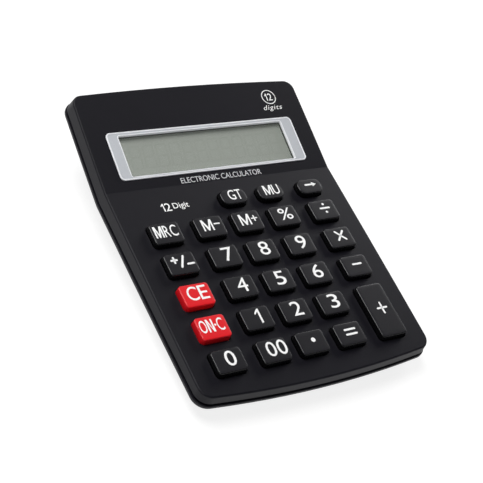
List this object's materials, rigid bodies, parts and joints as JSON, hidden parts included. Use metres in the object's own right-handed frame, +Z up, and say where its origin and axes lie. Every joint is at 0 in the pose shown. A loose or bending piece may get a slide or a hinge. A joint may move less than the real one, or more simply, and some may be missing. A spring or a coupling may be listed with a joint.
{
  "type": "desk calculator",
  "caption": "Black desk calculator with a tilted display in a silver frame, sprung keycaps in a sloping keypad, and a sliding battery cover.",
  "frame": {"origin": "under the middle of the case's bounding box, on the plane that the feet stand on", "axes": "+X to the right of the user, +Y from the front edge to the display edge, +Z up"},
  "size_m": [0.12, 0.1558, 0.0343],
  "materials": {
    "case": "fine moulded texture, satin",
    "key_charcoal": "moulded, satin",
    "key_red": "moulded, semi-gloss",
    "silver_trim": "silver painted, satin",
    "clear_window": "clear acrylic, polished",
    "film": "polarising film",
    "lcd_glass": "bonded display glass",
    "reflector": "grey-green reflecting film",
    "holder_plastic": "moulded",
    "ribbon_film": "printed film",
    "silicone": "silicone rubber",
    "circuit_board": "phenolic board",
    "epoxy": "epoxy",
    "capacitor_can": "sleeved can",
    "ceramic": "chip resistors",
    "cell_can": "printed sleeve",
    "contact_steel": "nickel plated spring steel",
    "lead_red": "insulated lead",
    "lead_black": "insulated lead",
    "screw_steel": "zinc plated",
    "foot_rubber": "moulded rubber"
  },
  "bodies": {
    "case": {"battery_cell": "cell_can", "black_lead": "lead_black", "board_screws": "screw_steel", "capacitor": "capacitor_can", "case_screws": "screw_steel", "chip_blob": "epoxy", "display_frame": "silver_trim", "display_window": "clear_window", "front_polariser": "film", "holder_screws": "screw_steel", "key_mat": "silicone", "lcd_glass": "lcd_glass", "lcd_holder": "holder_plastic", "lcd_ribbon": "ribbon_film", "lower_case": "case", "main_board": "circuit_board", "negative_contact": "contact_steel", "positive_contact": "contact_steel", "rear_reflector": "reflector", "red_lead": "lead_red", "resistors": "ceramic", "rubber_feet": "foot_rubber", "upper_case": "case"},
    "battery_cover": {"battery_cover": "case"},
    "key_0": {"key_0": "key_charcoal"},
    "key_1": {"key_1": "key_charcoal"},
    "key_2": {"key_2": "key_charcoal"},
    "key_3": {"key_3": "key_charcoal"},
    "key_4": {"key_4": "key_charcoal"},
    "key_5": {"key_5": "key_charcoal"},
    "key_6": {"key_6": "key_charcoal"},
    "key_7": {"key_7": "key_charcoal"},
    "key_8": {"key_8": "key_charcoal"},
    "key_9": {"key_9": "key_charcoal"},
    "key_backspace": {"key_backspace": "key_charcoal"},
    "key_clear_entry": {"key_clear_entry": "key_red"},
    "key_divide": {"key_divide": "key_charcoal"},
    "key_double_zero": {"key_double_zero": "key_charcoal"},
    "key_equals": {"key_equals": "key_charcoal"},
    "key_grand_total": {"key_grand_total": "key_charcoal"},
    "key_mark_up": {"key_mark_up": "key_charcoal"},
    "key_memory_minus": {"key_memory_minus": "key_charcoal"},
    "key_memory_plus": {"key_memory_plus": "key_charcoal"},
    "key_memory_recall": {"key_memory_recall": "key_charcoal"},
    "key_minus": {"key_minus": "key_charcoal"},
    "key_multiply": {"key_multiply": "key_charcoal"},
    "key_on_clear": {"key_on_clear": "key_red"},
    "key_percent": {"key_percent": "key_charcoal"},
    "key_plus": {"key_plus": "key_charcoal"},
    "key_point": {"key_point": "key_charcoal"},
    "key_sign": {"key_sign": "key_charcoal"}
  },
  "joints": [
    {"name": "key_0_press", "type": "slide", "parent": "case", "child": "key_0", "axis": [0, 0.0872, -0.9962], "range_m": [0, 0.0014], "stiffness_N_per_m": 500, "springref_m": -0.0003, "deforming": ["key_mat"]},
    {"name": "key_1_press", "type": "slide", "parent": "case", "child": "key_1", "axis": [0, 0.0872, -0.9962], "range_m": [0, 0.0014], "stiffness_N_per_m": 500, "springref_m": -0.0003, "deforming": ["key_mat"]},
    {"name": "key_2_press", "type": "slide", "parent": "case", "child": "key_2", "axis": [0, 0.0872, -0.9962], "range_m": [0, 0.0014], "stiffness_N_per_m": 500, "springref_m": -0.0003, "deforming": ["key_mat"]},
    {"name": "key_3_press", "type": "slide", "parent": "case", "child": "key_3", "axis": [0, 0.0872, -0.9962], "range_m": [0, 0.0014], "stiffness_N_per_m": 500, "springref_m": -0.0003, "deforming": ["key_mat"]},
    {"name": "key_4_press", "type": "slide", "parent": "case", "child": "key_4", "axis": [0, 0.0872, -0.9962], "range_m": [0, 0.0014], "stiffness_N_per_m": 500, "springref_m": -0.0003, "deforming": ["key_mat"]},
    {"name": "key_5_press", "type": "slide", "parent": "case", "child": "key_5", "axis": [0, 0.0872, -0.9962], "range_m": [0, 0.0014], "stiffness_N_per_m": 500, "springref_m": -0.0003, "deforming": ["key_mat"]},
    {"name": "key_6_press", "type": "slide", "parent": "case", "child": "key_6", "axis": [0, 0.0872, -0.9962], "range_m": [0, 0.0014], "stiffness_N_per_m": 500, "springref_m": -0.0003, "deforming": ["key_mat"]},
    {"name": "key_7_press", "type": "slide", "parent": "case", "child": "key_7", "axis": [0, 0.0872, -0.9962], "range_m": [0, 0.0014], "stiffness_N_per_m": 500, "springref_m": -0.0003, "deforming": ["key_mat"]},
    {"name": "key_8_press", "type": "slide", "parent": "case", "child": "key_8", "axis": [0, 0.0872, -0.9962], "range_m": [0, 0.0014], "stiffness_N_per_m": 500, "springref_m": -0.0003, "deforming": ["key_mat"]},
    {"name": "key_9_press", "type": "slide", "parent": "case", "child": "key_9", "axis": [0, 0.0872, -0.9962], "range_m": [0, 0.0014], "stiffness_N_per_m": 500, "springref_m": -0.0003, "deforming": ["key_mat"]},
    {"name": "key_backspace_press", "type": "slide", "parent": "case", "child": "key_backspace", "axis": [0, 0.0872, -0.9962], "range_m": [0, 0.0014], "stiffness_N_per_m": 500, "springref_m": -0.0003, "deforming": ["key_mat"]},
    {"name": "key_clear_entry_press", "type": "slide", "parent": "case", "child": "key_clear_entry", "axis": [0, 0.0872, -0.9962], "range_m": [0, 0.0014], "stiffness_N_per_m": 500, "springref_m": -0.0003, "deforming": ["key_mat"]},
    {"name": "key_divide_press", "type": "slide", "parent": "case", "child": "key_divide", "axis": [0, 0.0872, -0.9962], "range_m": [0, 0.0014], "stiffness_N_per_m": 500, "springref_m": -0.0003, "deforming": ["key_mat"]},
    {"name": "key_double_zero_press", "type": "slide", "parent": "case", "child": "key_double_zero", "axis": [0, 0.0872, -0.9962], "range_m": [0, 0.0014], "stiffness_N_per_m": 500, "springref_m": -0.0003, "deforming": ["key_mat"]},
    {"name": "key_equals_press", "type": "slide", "parent": "case", "child": "key_equals", "axis": [0, 0.0872, -0.9962], "range_m": [0, 0.0014], "stiffness_N_per_m": 500, "springref_m": -0.0003, "deforming": ["key_mat"]},
    {"name": "key_grand_total_press", "type": "slide", "parent": "case", "child": "key_grand_total", "axis": [0, 0.0872, -0.9962], "range_m": [0, 0.0014], "stiffness_N_per_m": 500, "springref_m": -0.0003, "deforming": ["key_mat"]},
    {"name": "key_mark_up_press", "type": "slide", "parent": "case", "child": "key_mark_up", "axis": [0, 0.0872, -0.9962], "range_m": [0, 0.0014], "stiffness_N_per_m": 500, "springref_m": -0.0003, "deforming": ["key_mat"]},
    {"name": "key_memory_minus_press", "type": "slide", "parent": "case", "child": "key_memory_minus", "axis": [0, 0.0872, -0.9962], "range_m": [0, 0.0014], "stiffness_N_per_m": 500, "springref_m": -0.0003, "deforming": ["key_mat"]},
    {"name": "key_memory_plus_press", "type": "slide", "parent": "case", "child": "key_memory_plus", "axis": [0, 0.0872, -0.9962], "range_m": [0, 0.0014], "stiffness_N_per_m": 500, "springref_m": -0.0003, "deforming": ["key_mat"]},
    {"name": "key_memory_recall_press", "type": "slide", "parent": "case", "child": "key_memory_recall", "axis": [0, 0.0872, -0.9962], "range_m": [0, 0.0014], "stiffness_N_per_m": 500, "springref_m": -0.0003, "deforming": ["key_mat"]},
    {"name": "key_minus_press", "type": "slide", "parent": "case", "child": "key_minus", "axis": [0, 0.0872, -0.9962], "range_m": [0, 0.0014], "stiffness_N_per_m": 500, "springref_m": -0.0003, "deforming": ["key_mat"]},
    {"name": "key_multiply_press", "type": "slide", "parent": "case", "child": "key_multiply", "axis": [0, 0.0872, -0.9962], "range_m": [0, 0.0014], "stiffness_N_per_m": 500, "springref_m": -0.0003, "deforming": ["key_mat"]},
    {"name": "key_on_clear_press", "type": "slide", "parent": "case", "child": "key_on_clear", "axis": [0, 0.0872, -0.9962], "range_m": [0, 0.0014], "stiffness_N_per_m": 500, "springref_m": -0.0003, "deforming": ["key_mat"]},
    {"name": "key_percent_press", "type": "slide", "parent": "case", "child": "key_percent", "axis": [0, 0.0872, -0.9962], "range_m": [0, 0.0014], "stiffness_N_per_m": 500, "springref_m": -0.0003, "deforming": ["key_mat"]},
    {"name": "key_plus_press", "type": "slide", "parent": "case", "child": "key_plus", "axis": [0, 0.0872, -0.9962], "range_m": [0, 0.0014], "stiffness_N_per_m": 600, "springref_m": -0.0003, "deforming": ["key_mat"]},
    {"name": "key_point_press", "type": "slide", "parent": "case", "child": "key_point", "axis": [0, 0.0872, -0.9962], "range_m": [0, 0.0014], "stiffness_N_per_m": 500, "springref_m": -0.0003, "deforming": ["key_mat"]},
    {"name": "key_sign_press", "type": "slide", "parent": "case", "child": "key_sign", "axis": [0, 0.0872, -0.9962], "range_m": [0, 0.0014], "stiffness_N_per_m": 500, "springref_m": -0.0003, "deforming": ["key_mat"]},
    {"name": "battery_cover_slide", "type": "slide", "parent": "case", "child": "battery_cover", "axis": [0, 1, 0], "range_m": [0, 0.004]}
  ]
}
